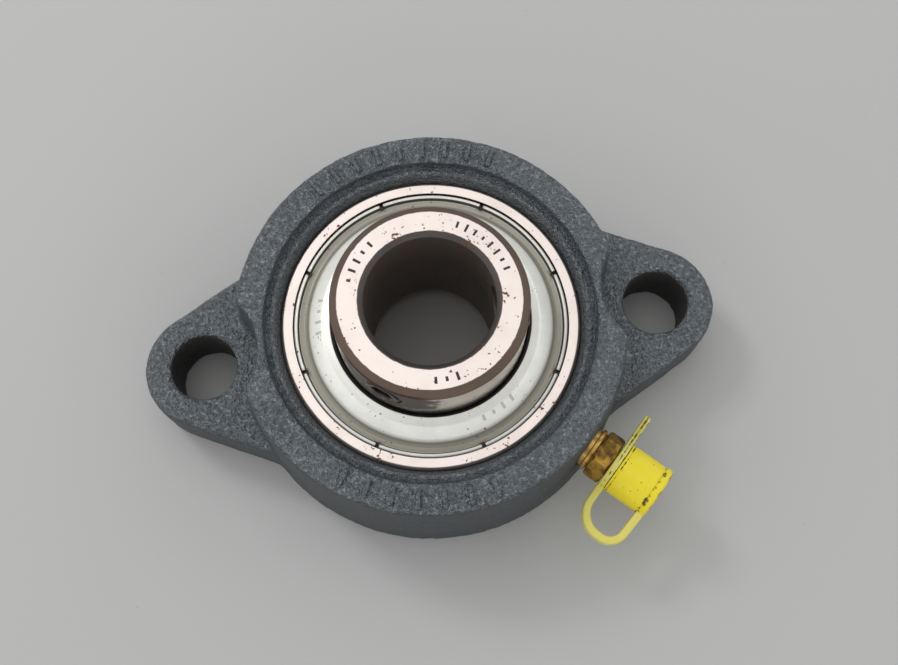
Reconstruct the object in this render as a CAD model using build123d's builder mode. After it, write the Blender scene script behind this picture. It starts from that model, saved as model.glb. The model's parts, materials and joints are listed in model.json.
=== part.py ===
from build123d import *
import os
from math import atan, cos, degrees, radians, sin, sqrt

# Two-bolt flange mount bearing: a cast housing, a self-aligning ball bearing insert
# with set-screw locking, and a capped grease nipple.
# Origin: centre of the mounting face, on the bearing axis. +Z: towards the front,
# +X: along the line of the bolt holes. Millimetres.

# ---- driving dimensions -------------------------------------------------------

bore_radius = 9.525  # 3/4 inch shaft
bolt_spacing = 71.5  # 90 overall, with the ears' end radius
bolt_hole_radius = 5.05
housing_height = 20.0
flange_thickness = 10.5
insert_centre_z = 10.5
running_gap = 0.03

# Housing
boss_base_radius = 30.7
boss_top_radius = 29.5
boss_edge_round = 0.7
ear_radius = 9.25
ear_edge_angle = 27.5  # of the ear's straight edges to X
ear_root_radius = 29.9  # where the ears' webs start, just inside the boss
ear_web_radius = 6.0
ear_top_round = 1.0
foot_round = 1.4  # between the ear's face and the boss
bolt_clear_radius = 9.7  # room for the bolt head, at the boss's top
bolt_clear_corner = 3.0
seat_low_z = 4.0
seat_high_z = 17.0
lip_top_z = 18.95
lip_inner_radius = 23.7
groove_inner_radius = 23.95
groove_outer_radius = 25.05
groove_floor_z = 18.5
groove_corner = 0.3
loading_slot_width = 14.4

# Insert: outer ring
sphere_radius = 23.5
outer_ring_width = 14.0
outer_face_inner_radius = 20.8
outer_face_outer_radius = 22.2
outer_edge_drop = 0.2
outer_shoulder_radius = 19.1
shield_step_depth = 1.6
grease_hole_radius = 0.7
grease_hole_offset = 4.3  # from the insert's centre plane

# Insert: inner ring
inner_ring_radius = 14.4
inner_ring_width = 25.0
inner_face_outer_radius = 13.28
inner_chamfer_height = 1.0
bore_chamfer = 0.7
back_chamfer = 0.4

# Balls and cage
ball_count = 8
ball_radius = 3.969
pitch_radius = 16.75
race_clearance = 0.02
race_radius = 4.09
cage_inner_radius = 15.6
cage_outer_radius = 17.9
cage_sheet = 0.6
pocket_radius = 4.05
rivet_radius = 0.57
rivet_head_radius = 1.0
rivet_head_height = 0.5

# Shields and seals
sheet = 0.45
shield_rim_radius = 20.72
rim_slit_count = 8
rim_slit_width = 0.5
rim_slit_depth = 1.0
rim_slit_start = 14.0  # azimuth of the first slit
lip_radius = 14.43

# Set screws: 1/4 inch, hexagon socket, cup point
screw_radius = 3.12
screw_hole_radius = 3.17
screw_length = 4.76
screw_tip_radius = 9.6  # distance from the bearing axis
screw_height_z = 24.0
screw_azimuths = (-7.0, -127.0)
socket_across_flats = 3.175
socket_depth = 2.4

# Anti-rotation pin, opposite the grease nipple
pin_radius = 1.0
pin_azimuth = 135.0
pin_inner_distance = 21.9
pin_outer_distance = 24.4
pin_slot_width = 2.3
pin_slot_reach = 24.7

# Grease nipple and its cap, along one radial axis
nipple_azimuth = -45.0
nipple_thread_radius = 3.15
nipple_hole_radius = 3.2
nipple_start = 25.6
collar_start = 30.4
collar_radius = 3.55
hex_start = 31.3
hex_end = 34.1
hex_across_flats = 7.0
neck_radius = 2.35
head_radius = 3.25
head_end = 40.4
nipple_bore_radius = 1.25
mouth_radius = 0.8
check_ball_radius = 1.15
spring_wire_radius = 0.14
spring_radius = 0.95
spring_pitch = 1.0
spring_start = 30.0
cap_ring_start = 34.2
cap_ring_end = 35.2
cap_ring_radius = 4.3
cap_ring_hole = 2.45
tab_reach = 8.9
tab_width = 4.0
cap_mouth = 35.3
cap_end = 42.4
cap_radius = 4.1
cap_rim_radius = 4.25
cap_rim_height = 1.1
cap_hollow_radius = 3.35
cap_hollow_end = 41.0
strap_thickness = 1.2
strap_width = 2.4
strap_reach = 10.45  # how far the loop hangs from the nipple's axis
strap_bends = (3.7, 2.5)

# ---- derived values ------------------------------------------------------------

bolt_x = bolt_spacing / 2
boss_draft = degrees(atan((boss_base_radius - boss_top_radius) / housing_height))
bolt_clear_base = bolt_clear_radius - (boss_base_radius - boss_top_radius)
hull_core_radius = ear_radius + bolt_x * sin(radians(ear_edge_angle))
seat_radius = sphere_radius + running_gap
seat_opening = sqrt(seat_radius**2 - (seat_high_z - insert_centre_z) ** 2)
half_width = outer_ring_width / 2
outer_low_z = insert_centre_z - half_width
outer_high_z = insert_centre_z + half_width
inner_low_z = outer_low_z
inner_high_z = inner_low_z + inner_ring_width
outer_race_centre = pitch_radius + ball_radius + race_clearance - race_radius
inner_race_centre = pitch_radius - ball_radius - race_clearance + race_radius
step_low_z = outer_low_z + shield_step_depth
step_high_z = outer_high_z - shield_step_depth
ball_angles = [i * 360 / ball_count for i in range(ball_count)]
rivet_angles = [a + 180 / ball_count for a in ball_angles]

nipple_direction = Vector(1, 0, 0).rotate(Axis.Z, nipple_azimuth)
nipple_axis = Axis((0, 0, insert_centre_z), nipple_direction)
# Local x runs outwards along the nipple, local y to its left as seen from the front.
nipple_flat = Plane(origin=(0, 0, insert_centre_z), x_dir=nipple_direction, z_dir=(0, 0, 1))

os.makedirs("parts", exist_ok=True)


def radial_plane(azimuth, height, distance=0.0):
    """A plane facing outwards from the bearing axis, with its x level."""
    a = radians(azimuth)
    outwards = (cos(a), sin(a), 0)
    level = (-sin(a), cos(a), 0)
    origin = (distance * outwards[0], distance * outwards[1], height)
    return Plane(origin=origin, x_dir=level, z_dir=outwards)


def pitch_point(angle, height):
    """A point over the balls' pitch circle."""
    a = radians(angle)
    return (pitch_radius * cos(a), pitch_radius * sin(a), height)


def save(piece, node):
    """Labels one finished piece and writes its file."""
    piece.part.label = node
    export_step(piece.part, f"parts/{node}.step")


# ---- housing -----------------------------------------------------------------


def boss_with_clearances():
    """The tapered boss, hollowed where the bolt heads stand."""
    with BuildPart() as boss:
        with BuildSketch() as outline:
            Circle(boss_base_radius)
            with Locations((-bolt_x, 0), (bolt_x, 0)):
                Circle(bolt_clear_base, mode=Mode.SUBTRACT)
            fillet(outline.vertices(), bolt_clear_corner)
        extrude(amount=housing_height, taper=boss_draft)
        fillet(boss.edges().group_by(Axis.Z)[-1], boss_edge_round)
    return boss


def ears():
    """The flange plate: both ears, run into the boss by rounded webs."""
    with BuildSketch() as hull:
        with Locations((-bolt_x, 0), (bolt_x, 0)):
            Circle(ear_radius)
        Circle(hull_core_radius)
        make_hull()
    with BuildPart() as plate:
        with BuildSketch() as outline:
            add(hull.sketch)
            Circle(ear_root_radius)
            corners = outline.vertices().filter_by(
                lambda v: abs(v.Y) > ear_radius
                and abs(v.center().length - ear_root_radius) < 0.01
            )
            fillet(corners, ear_web_radius)
        extrude(amount=flange_thickness)
        fillet(plate.edges().group_by(Axis.Z)[-1], ear_top_round)
    return plate


def cast_body():
    boss = boss_with_clearances()
    plate = ears()
    with BuildPart() as body:
        add(boss.part)
        add(plate.part)
        level = body.edges().filter_by_position(
            Axis.Z, flange_thickness - 0.01, flange_thickness + 0.01
        )
        foot = level.filter_by(
            lambda e: Vector(e.center().X, e.center().Y).length < ear_root_radius + 0.3
        )
        fillet(foot, foot_round)
    return body


def make_housing():
    casting = cast_body()
    with BuildPart() as housing:
        add(casting.part)

        # spherical seat between its two openings
        with BuildSketch(Plane.XZ):
            with BuildLine():
                Line((seat_opening, seat_low_z), (seat_opening, -1))
                Line((seat_opening, -1), (0, -1))
                Line((0, -1), (0, housing_height + 1))
                Line((0, housing_height + 1), (lip_inner_radius, housing_height + 1))
                Line((lip_inner_radius, housing_height + 1), (lip_inner_radius, lip_top_z))
                Line((lip_inner_radius, lip_top_z), (seat_opening, seat_high_z))
                ThreePointArc(
                    (seat_opening, seat_high_z),
                    (seat_radius, insert_centre_z),
                    (seat_opening, seat_low_z),
                )
            make_face()
        revolve(axis=Axis.Z, mode=Mode.SUBTRACT)

        # cast groove around the seat's lip
        with BuildSketch(Plane.XZ) as groove:
            with BuildLine():
                Polyline(
                    (lip_inner_radius - 0.2, housing_height + 1),
                    (lip_inner_radius - 0.2, lip_top_z),
                    (groove_inner_radius, lip_top_z),
                    (groove_inner_radius + 0.1, groove_floor_z),
                    (groove_outer_radius - 0.2, groove_floor_z),
                    (groove_outer_radius, housing_height + 1),
                    close=True,
                )
            make_face()
            fillet(groove.vertices().group_by(Axis.Y)[0], groove_corner)
        revolve(axis=Axis.Z, mode=Mode.SUBTRACT)

        # slots that let the insert in sideways from the back
        with BuildSketch():
            Circle(seat_radius + 0.02)
            Rectangle(loading_slot_width, 3 * seat_radius, mode=Mode.INTERSECT)
        extrude(amount=insert_centre_z, mode=Mode.SUBTRACT)

        # groove that carries grease round to the outer ring's holes
        with BuildSketch(Plane.XZ):
            with Locations((sphere_radius, insert_centre_z + 2.2)):
                Rectangle(1.8, 6.4)
        revolve(axis=Axis.Z, mode=Mode.SUBTRACT)

        with BuildSketch(radial_plane(nipple_azimuth, insert_centre_z, nipple_start - 0.4)):
            Circle(nipple_hole_radius)
        extrude(amount=10, mode=Mode.SUBTRACT)
        with BuildSketch(radial_plane(nipple_azimuth, insert_centre_z, nipple_start)):
            Circle(1.5)
        extrude(amount=-4, mode=Mode.SUBTRACT)

        with BuildSketch(radial_plane(pin_azimuth, 0, pin_slot_reach)):
            with Locations((0, insert_centre_z / 2 + 1)):
                Rectangle(pin_slot_width, insert_centre_z + 4)
        extrude(amount=-4, mode=Mode.SUBTRACT)

        with BuildSketch():
            with Locations((-bolt_x, 0), (bolt_x, 0)):
                Circle(bolt_hole_radius)
        extrude(amount=housing_height, mode=Mode.SUBTRACT)
    save(housing, "housing")


# ---- bearing insert ------------------------------------------------------------


def make_outer_ring():
    edge_radius = sqrt(sphere_radius**2 - (half_width - outer_edge_drop) ** 2)
    race_half = sqrt(race_radius**2 - (outer_shoulder_radius - outer_race_centre) ** 2)
    z = insert_centre_z
    with BuildPart() as ring:
        with BuildSketch(Plane.XZ):
            with BuildLine():
                Polyline(
                    (edge_radius, outer_high_z - outer_edge_drop),
                    (outer_face_outer_radius, outer_high_z),
                    (outer_face_inner_radius, outer_high_z),
                    (outer_face_inner_radius, step_high_z),
                    (outer_shoulder_radius, step_high_z),
                    (outer_shoulder_radius, z + race_half),
                )
                ThreePointArc(
                    (outer_shoulder_radius, z + race_half),
                    (outer_race_centre + race_radius, z),
                    (outer_shoulder_radius, z - race_half),
                )
                Polyline(
                    (outer_shoulder_radius, z - race_half),
                    (outer_shoulder_radius, step_low_z),
                    (outer_face_inner_radius, step_low_z),
                    (outer_face_inner_radius, outer_low_z),
                    (outer_face_outer_radius, outer_low_z),
                    (edge_radius, outer_low_z + outer_edge_drop),
                )
                ThreePointArc(
                    (edge_radius, outer_low_z + outer_edge_drop),
                    (sphere_radius, z),
                    (edge_radius, outer_high_z - outer_edge_drop),
                )
            make_face()
        revolve(axis=Axis.Z)
        for azimuth in (nipple_azimuth, nipple_azimuth + 180):
            with BuildSketch(radial_plane(azimuth, z + grease_hole_offset, 18)):
                Circle(grease_hole_radius)
            extrude(amount=6, mode=Mode.SUBTRACT)
        with BuildSketch(radial_plane(pin_azimuth, z, pin_inner_distance)):
            Circle(pin_radius + running_gap)
        extrude(amount=3, mode=Mode.SUBTRACT)
    save(ring, "outer_ring")


def make_inner_ring():
    race_half = sqrt(race_radius**2 - (inner_race_centre - inner_ring_radius) ** 2)
    z = insert_centre_z
    with BuildPart() as ring:
        with BuildSketch(Plane.XZ):
            with BuildLine():
                Polyline(
                    (inner_ring_radius, z - race_half),
                    (inner_ring_radius, inner_low_z + back_chamfer),
                    (inner_ring_radius - back_chamfer, inner_low_z),
                    (bore_radius + bore_chamfer, inner_low_z),
                    (bore_radius, inner_low_z + bore_chamfer),
                    (bore_radius, inner_high_z - bore_chamfer),
                    (bore_radius + bore_chamfer, inner_high_z),
                    (inner_face_outer_radius, inner_high_z),
                    (inner_ring_radius, inner_high_z - inner_chamfer_height),
                    (inner_ring_radius, z + race_half),
                )
                ThreePointArc(
                    (inner_ring_radius, z + race_half),
                    (inner_race_centre - race_radius, z),
                    (inner_ring_radius, z - race_half),
                )
            make_face()
        revolve(axis=Axis.Z)
        for azimuth in screw_azimuths:
            with BuildSketch(radial_plane(azimuth, screw_height_z)):
                Circle(screw_hole_radius)
            extrude(amount=inner_ring_radius + 2, mode=Mode.SUBTRACT)
    save(ring, "inner_ring")


def make_balls():
    for number, angle in enumerate(ball_angles, start=1):
        with BuildPart() as ball:
            with Locations(pitch_point(angle, insert_centre_z)):
                Sphere(ball_radius)
        save(ball, f"ball_{number}")


def cage_dome(side):
    """The part of the ribbon that bulges over one ball, on the +X axis."""
    with BuildPart() as dome:
        with BuildSketch(Plane.XY.offset(insert_centre_z)):
            Circle(cage_outer_radius)
            Circle(cage_inner_radius, mode=Mode.SUBTRACT)
        extrude(amount=side * (pocket_radius + 2 * cage_sheet))
        with Locations((pitch_radius, 0, insert_centre_z)):
            Sphere(pocket_radius + cage_sheet, mode=Mode.INTERSECT)
    return dome


def make_cage_half(node, side):
    """One pressed ribbon: flat between the balls, domed over each of them."""
    dome = cage_dome(side)
    with BuildPart() as half:
        with BuildSketch(Plane.XY.offset(insert_centre_z)):
            Circle(cage_outer_radius)
            Circle(cage_inner_radius, mode=Mode.SUBTRACT)
            with PolarLocations(pitch_radius, ball_count, start_angle=180 / ball_count):
                Circle(rivet_radius + running_gap, mode=Mode.SUBTRACT)
        extrude(amount=side * cage_sheet)
        for angle in ball_angles:
            add(dome.part.rotate(Axis.Z, angle))
        for angle in ball_angles:
            with Locations(pitch_point(angle, insert_centre_z)):
                Sphere(pocket_radius, mode=Mode.SUBTRACT)
    save(half, node)


def make_cage_rivets():
    low_head = insert_centre_z - cage_sheet - rivet_head_height
    high_head = insert_centre_z + cage_sheet
    shank_length = 2 * cage_sheet
    with BuildPart() as rivets:
        for angle in rivet_angles:
            for base, radius, height in (
                (low_head, rivet_head_radius, rivet_head_height),
                (insert_centre_z - cage_sheet, rivet_radius, shank_length),
                (high_head, rivet_head_radius, rivet_head_height),
            ):
                with BuildSketch(Plane(origin=pitch_point(angle, base))):
                    Circle(radius)
                extrude(amount=height)
    save(rivets, "cage_rivets")


# ---- shields and seals ----------------------------------------------------------


def revolved(points):
    """A ring turned from one closed outline of (radius, height) points."""
    with BuildPart() as turned:
        with BuildSketch(Plane.XZ):
            with BuildLine():
                Polyline(*points, close=True)
            make_face()
        revolve(axis=Axis.Z)
    return turned


def rim_slit_cutters(rim_z):
    """The short radial slits that let a shield's rim spring into its groove."""
    with BuildPart() as cutters:
        for i in range(rim_slit_count):
            azimuth = rim_slit_start + i * 360 / rim_slit_count
            with BuildSketch(radial_plane(azimuth, rim_z, shield_rim_radius - 0.8)):
                Rectangle(rim_slit_width, rim_slit_depth)
            extrude(amount=2)
    return cutters


def make_front_shield():
    crown = [
        (15.1, 19.2),
        (16.4, 18.75),
        (18.1, 17.45),
        (18.75, 16.72),
        (19.15, 16.5),
        (19.95, 16.6),
    ]
    rim = [
        (20.12, 17.15),
        (20.35, 17.35),
        (20.6, 17.2),
        (shield_rim_radius, 16.9),
        (shield_rim_radius, step_high_z + 0.03),
        (20.3, step_high_z + 0.03),
    ]
    underside = [(r, z - sheet) for r, z in reversed(crown)]
    with BuildPart() as shield:
        add(revolved(crown + rim + underside).part)
        add(rim_slit_cutters(rim_z=17.15).part, mode=Mode.SUBTRACT)
    save(shield, "front_shield")


def make_rear_shield():
    low = outer_low_z
    face = [(15.0, low + 0.75), (18.4, low + 0.75), (19.0, low + 1.05), (19.95, low + 0.95)]
    rim = [
        (20.12, low + 0.4),
        (20.35, low + 0.2),
        (20.6, low + 0.35),
        (shield_rim_radius, low + 0.7),
        (shield_rim_radius, step_low_z - 0.03),
        (20.3, step_low_z - 0.03),
    ]
    inside = [(r, z + sheet) for r, z in reversed(face)]
    with BuildPart() as shield:
        add(revolved(face + rim + inside).part)
        add(rim_slit_cutters(rim_z=low + 0.35).part, mode=Mode.SUBTRACT)
    save(shield, "rear_shield")


def make_seal_lips():
    front = [
        (15.1, 19.2 - sheet),
        (16.4, 18.75 - sheet),
        (16.9, 17.6),
        (16.2, 17.8),
        (15.35, 18.1),
        (14.95, 17.6),
        (lip_radius, 17.5),
        (lip_radius, 17.9),
        (14.75, 18.5),
    ]
    low = outer_low_z + 0.75 + sheet
    rear = [
        (16.5, low),
        (15.0, low),
        (14.7, low + 0.05),
        (lip_radius, low + 0.3),
        (lip_radius, low + 0.6),
        (14.9, low + 0.7),
        (15.4, low + 0.35),
        (16.5, low + 0.35),
    ]
    save(revolved(front), "front_seal_lip")
    save(revolved(rear), "rear_seal_lip")


# ---- fasteners -----------------------------------------------------------------


def make_set_screws():
    for number, azimuth in enumerate(screw_azimuths, start=1):
        tip = radial_plane(azimuth, screw_height_z, screw_tip_radius)
        end = radial_plane(azimuth, screw_height_z, screw_tip_radius + screw_length)
        with BuildPart() as screw:
            with BuildSketch(tip):
                Circle(screw_radius)
            extrude(amount=screw_length)
            ends = screw.edges().filter_by(GeomType.CIRCLE)
            chamfer(ends, 0.35)
            with BuildSketch(end):
                RegularPolygon(socket_across_flats / 2, 6, major_radius=False)
            extrude(amount=-socket_depth, mode=Mode.SUBTRACT)
            with BuildSketch(tip):
                Circle(1.7)
            extrude(amount=0.8, taper=45, mode=Mode.SUBTRACT)
        save(screw, f"set_screw_{number}")


def make_anti_rotation_pin():
    with BuildPart() as pin:
        with BuildSketch(radial_plane(pin_azimuth, insert_centre_z, pin_inner_distance + 0.05)):
            Circle(pin_radius)
        extrude(amount=pin_outer_distance - pin_inner_distance - 0.05)
        chamfer(pin.edges().filter_by(GeomType.CIRCLE), 0.2)
    save(pin, "anti_rotation_pin")


# ---- grease nipple and cap -------------------------------------------------------


def turned_on_nipple(points):
    """A solid turned about the nipple's axis from (distance, radius) points."""
    with BuildPart() as turned:
        with BuildSketch(nipple_flat):
            with BuildLine():
                Polyline(*points, close=True)
            make_face()
        revolve(axis=nipple_axis)
    return turned


def make_nipple_body():
    shank = turned_on_nipple(
        [
            (nipple_start, 0),
            (nipple_start, nipple_thread_radius - 0.4),
            (nipple_start + 0.6, nipple_thread_radius),
            (collar_start, nipple_thread_radius),
            (collar_start, collar_radius),
            (hex_start, collar_radius),
            (hex_start, neck_radius),
            (36.3, neck_radius),
            (37.3, head_radius),
            (38.6, head_radius),
            (head_end - 0.4, 1.9),
            (head_end, 1.5),
            (head_end, 0),
        ]
    )
    chamfer_cone = turned_on_nipple(
        [
            (hex_start, 0),
            (hex_start, hex_across_flats / 2),
            (hex_start + 0.4, hex_across_flats / 2 + 0.6),
            (hex_end - 0.4, hex_across_flats / 2 + 0.6),
            (hex_end, hex_across_flats / 2),
            (hex_end, 0),
        ]
    )
    with BuildPart() as hexagon:
        with BuildSketch(radial_plane(nipple_azimuth, insert_centre_z, hex_start)):
            RegularPolygon(hex_across_flats / 2, 6, major_radius=False)
        extrude(amount=hex_end - hex_start)
        add(chamfer_cone.part, mode=Mode.INTERSECT)
    with BuildPart() as body:
        add(shank.part)
        add(hexagon.part)
        with BuildSketch(radial_plane(nipple_azimuth, insert_centre_z, nipple_start)):
            Circle(nipple_bore_radius)
        extrude(amount=head_end - nipple_start - 1.0, mode=Mode.SUBTRACT)
        with BuildSketch(radial_plane(nipple_azimuth, insert_centre_z, nipple_start)):
            Circle(mouth_radius)
        extrude(amount=head_end - nipple_start, mode=Mode.SUBTRACT)
    save(body, "nipple_body")


def make_nipple_valve():
    """The check ball behind the mouth, and the coil spring that holds it there."""
    ball_distance = head_end - 1.0 - check_ball_radius
    with BuildPart() as ball:
        with Locations(radial_plane(nipple_azimuth, insert_centre_z, ball_distance)):
            Sphere(check_ball_radius)
    save(ball, "nipple_ball")

    spring_end = ball_distance - check_ball_radius * 0.75
    foot = radial_plane(nipple_azimuth, insert_centre_z, spring_start).origin
    with BuildPart() as spring:
        with BuildLine() as coil:
            Helix(
                pitch=spring_pitch,
                height=spring_end - spring_start,
                radius=spring_radius,
                center=foot,
                direction=nipple_direction,
            )
        with BuildSketch(Plane(origin=coil.line @ 0, z_dir=coil.line % 0)):
            Circle(spring_wire_radius)
        sweep(path=coil.line, is_frenet=True)
    save(spring, "nipple_spring")


def make_cap_ring():
    """The cap's keeper ring round the nipple's neck, with its pull tab."""
    start = radial_plane(nipple_azimuth, insert_centre_z, cap_ring_start)
    with BuildPart() as ring:
        with BuildSketch(start) as outline:
            with Locations(((tab_reach - tab_width / 2) / 2, 0)):
                Rectangle(tab_reach - tab_width / 2, tab_width)
            with Locations((tab_reach - tab_width / 2, 0)):
                Circle(tab_width / 2)
            Circle(cap_ring_radius)
            Circle(cap_ring_hole, mode=Mode.SUBTRACT)
        extrude(amount=cap_ring_end - cap_ring_start)
    save(ring, "cap_ring")


def strap_path():
    """The strap's middle line, in the nipple's flat plane: ring, U-bend, cap end."""
    middle = (cap_ring_start + cap_ring_end) / 2
    cap_side = cap_end - strap_thickness / 2 - 0.1
    return [
        (middle, -cap_ring_radius + 0.05),
        (middle - 0.05, -strap_reach),
        (cap_side - 0.35, -strap_reach),
        (cap_side, -cap_rim_radius + 0.05),
    ]


def make_cap_strap():
    with BuildPart() as keep_out:
        with BuildSketch(radial_plane(nipple_azimuth, insert_centre_z, cap_ring_start - 1)):
            Circle(cap_ring_radius)
        extrude(amount=cap_end - cap_ring_start + 2)
    with BuildPart() as strap:
        with BuildLine(nipple_flat) as path:
            FilletPolyline(*strap_path(), radius=strap_bends)
        with BuildSketch(Plane(origin=path.line @ 0, x_dir=(0, 0, 1), z_dir=path.line % 0)):
            RectangleRounded(strap_width, strap_thickness, 0.3)
        sweep(path=path.line)
        add(keep_out.part, mode=Mode.SUBTRACT)
    save(strap, "cap_strap")


def make_cap_shell():
    rim_start = cap_end - cap_rim_height
    shell = turned_on_nipple(
        [
            (cap_mouth, cap_hollow_radius),
            (cap_mouth, cap_radius),
            (rim_start, cap_radius),
            (rim_start + 0.15, cap_rim_radius),
            (cap_end - 0.35, cap_rim_radius),
            (cap_end, cap_rim_radius - 0.4),
            (cap_end, 0),
            (cap_hollow_end, 0),
            (cap_hollow_end - 0.6, cap_hollow_radius),
        ]
    )
    save(shell, "cap_shell")


make_housing()
make_outer_ring()
make_inner_ring()
make_balls()
make_cage_half("cage_front", 1)
make_cage_half("cage_rear", -1)
make_cage_rivets()
make_front_shield()
make_rear_shield()
make_seal_lips()
make_set_screws()
make_anti_rotation_pin()
make_nipple_body()
make_nipple_valve()
make_cap_ring()
make_cap_strap()
make_cap_shell()
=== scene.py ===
import json
import math

import bmesh
import bpy
import numpy as np
from bpy.props import FloatProperty, FloatVectorProperty, IntProperty, PointerProperty
from mathutils import Matrix, Vector, noise

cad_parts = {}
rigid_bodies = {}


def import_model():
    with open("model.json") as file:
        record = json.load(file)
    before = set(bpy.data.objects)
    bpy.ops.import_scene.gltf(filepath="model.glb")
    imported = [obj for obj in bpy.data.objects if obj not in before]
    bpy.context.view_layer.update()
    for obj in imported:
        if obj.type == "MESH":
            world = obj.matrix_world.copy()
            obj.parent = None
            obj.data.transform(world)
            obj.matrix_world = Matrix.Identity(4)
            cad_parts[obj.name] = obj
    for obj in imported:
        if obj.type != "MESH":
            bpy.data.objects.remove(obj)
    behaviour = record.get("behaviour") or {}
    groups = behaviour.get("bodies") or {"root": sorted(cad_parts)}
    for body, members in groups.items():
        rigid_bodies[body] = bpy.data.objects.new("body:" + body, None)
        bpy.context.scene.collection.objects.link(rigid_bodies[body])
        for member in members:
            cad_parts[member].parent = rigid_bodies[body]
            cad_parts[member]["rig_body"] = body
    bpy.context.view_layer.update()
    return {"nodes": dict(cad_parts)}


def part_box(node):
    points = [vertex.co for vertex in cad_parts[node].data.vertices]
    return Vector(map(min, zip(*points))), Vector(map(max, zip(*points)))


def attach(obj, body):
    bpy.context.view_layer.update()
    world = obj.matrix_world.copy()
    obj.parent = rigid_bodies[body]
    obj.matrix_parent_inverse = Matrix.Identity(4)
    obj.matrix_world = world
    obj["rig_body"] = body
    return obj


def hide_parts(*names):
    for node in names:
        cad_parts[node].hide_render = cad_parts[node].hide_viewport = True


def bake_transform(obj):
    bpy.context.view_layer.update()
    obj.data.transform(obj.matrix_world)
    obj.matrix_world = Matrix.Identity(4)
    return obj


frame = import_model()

bl_info = {
    "name": "Flange Mount Bearing",
    "version": (1, 0, 0),
    "blender": (4, 5, 0),
    "location": "3D View > Sidebar > Bearing",
    "description": "Builds the finished surfaces of a two-bolt flange mount bearing",
    "category": "Add Mesh",
}

# ---- sizes, in millimetres -------------------------------------------------------
# Origin: centre of the mounting face, on the bearing axis. +Z: towards the front,
# +X: along the line of the bolt holes.

MM = 0.001
FULL_TURN = 2 * math.pi

# Housing
HOUSING_TOP = 20.0
SEAT_TOP = 17.0
SEAT_MOUTH = 22.6
LIP_RADIUS = 23.7
BOLT_X = 35.75
BOLT_HOLE_RADIUS = 5.05
GROOVE_MIDDLE = 24.5
GROOVE_BELOW = 18.0
MARK_RADIUS = 27.2
MARK_LENGTH = 2.9
MARK_WIDTH = 0.75
MARK_ROWS = ((62.0, 7.5, 9), (234.0, 8.0, 7))

# Insert
CENTRE_Z = 10.5
SPHERE_RADIUS = 23.5
OUTER_LOW = 3.5
OUTER_HIGH = 17.5
FACE_OUTER = 22.2
FACE_INNER = 20.8
SHOULDER_RADIUS = 19.1
STEP_DEPTH = 1.6
OUTER_RACE_CENTRE = 16.649
INNER_RACE_CENTRE = 16.851
RACE_RADIUS = 4.09
INNER_RADIUS = 14.4
INNER_TOP = 28.5
INNER_FACE_OUTER = 13.28
CHAMFER_HEIGHT = 1.0
BORE_RADIUS = 9.525
BORE_CHAMFER = 0.7
BACK_CHAMFER = 0.4
GREASE_HOLE_Z = 14.8
GREASE_HOLE_RADIUS = 0.7

# Rows of strokes: start, number and spacing, with start and spacing in turns
FACE_STROKE_RADIUS = 11.9
FACE_STROKES = ((0.345, 5, 0.021), (0.030, 8, 0.019), (-0.272, 3, 0.021))

# Shields
SHEET = 0.45
RIM_RADIUS = 20.72
RIM_SLITS = 8
RIM_SLIT_START = 14.0
RIM_SLIT_WIDTH = 0.5
RIM_SLIT_DEPTH = 1.0
VALLEY_RADIUS = 19.15
FOLD_RADIUS = 20.04
SHIELD_STROKE_RADIUS = 16.9
SHIELD_STROKES = ((0.440, 4, 0.016), (-0.205, 4, 0.016))

# Set screws
SCREW_AZIMUTHS = (-7.0, -127.0)
SCREW_Z = 24.0
SCREW_HOLE_RADIUS = 3.17
SCREW_RADIUS = 3.12
SCREW_ROOT = 2.72
SCREW_PITCH = 0.907
SCREW_LENGTH = 4.76
SCREW_TIP = 9.6
TIP_FADE = 0.5
END_FADE = 0.35
SOCKET_FLATS = 3.175
SOCKET_DEPTH = 2.4
PIN_AZIMUTH = 135.0

# Grease nipple and cap, along one axis through the insert's centre
NIPPLE_AZIMUTH = -45.0
NIPPLE_START = 25.6
THREAD_RADIUS = 3.15
COLLAR_START = 30.4
COLLAR_RADIUS = 3.55
COLLAR_END = 31.1
HEX_START = 31.3
HEX_END = 34.1
HEX_FLATS = 7.0
HEX_CHAMFER = ((0.02, 0), (0.14, 0.2), (0.28, 0.4), (0.45, 0.49), (0.7, 0.51))
NECK_RADIUS = 2.35
HEAD_RADIUS = 3.25
HEAD_END = 40.4
KEEPER_START = 34.2
KEEPER_END = 35.2
KEEPER_RADIUS = 4.3
KEEPER_HOLE = 2.45
TAB_REACH = 8.9
TAB_WIDTH = 4.0
CAP_MOUTH = 35.3
CAP_END = 42.4
CAP_RADIUS = 4.1
CAP_RIM_RADIUS = 4.25
CAP_RIM_HEIGHT = 1.1
CAP_HOLLOW_RADIUS = 3.35
CAP_HOLLOW_END = 41.0
STRAP_WIDTH = 2.4
STRAP_THICKNESS = 1.2
STRAP_ROUNDING = 0.35
STRAP_ROUTE = ((34.7, -4.1, 0), (34.65, -10.42, 3.7), (41.35, -10.42, 2.5), (41.8, -3.5, 0))

# Room between the mounting face and the floor
FLOOR_GAP = 0.02

# Lamps, in metres: name, position, width and height, brightness
SOFTBOXES = (
    ("overhead", (-0.10, 0.22, 0.80), (0.85, 0.85), 0.86),
    ("window", (-0.42, 0.50, 0.62), (0.20, 0.20), 13.0),
    ("front", (0.0, -0.75, 0.27), (1.3, 0.40), 0.95),
    ("left", (-0.75, 0.0, 0.30), (1.3, 0.52), 0.95),
    ("right", (0.75, 0.0, 0.30), (1.3, 0.52), 0.95),
    ("back", (0.0, 0.75, 0.30), (1.3, 0.40), 0.7),
)

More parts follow.
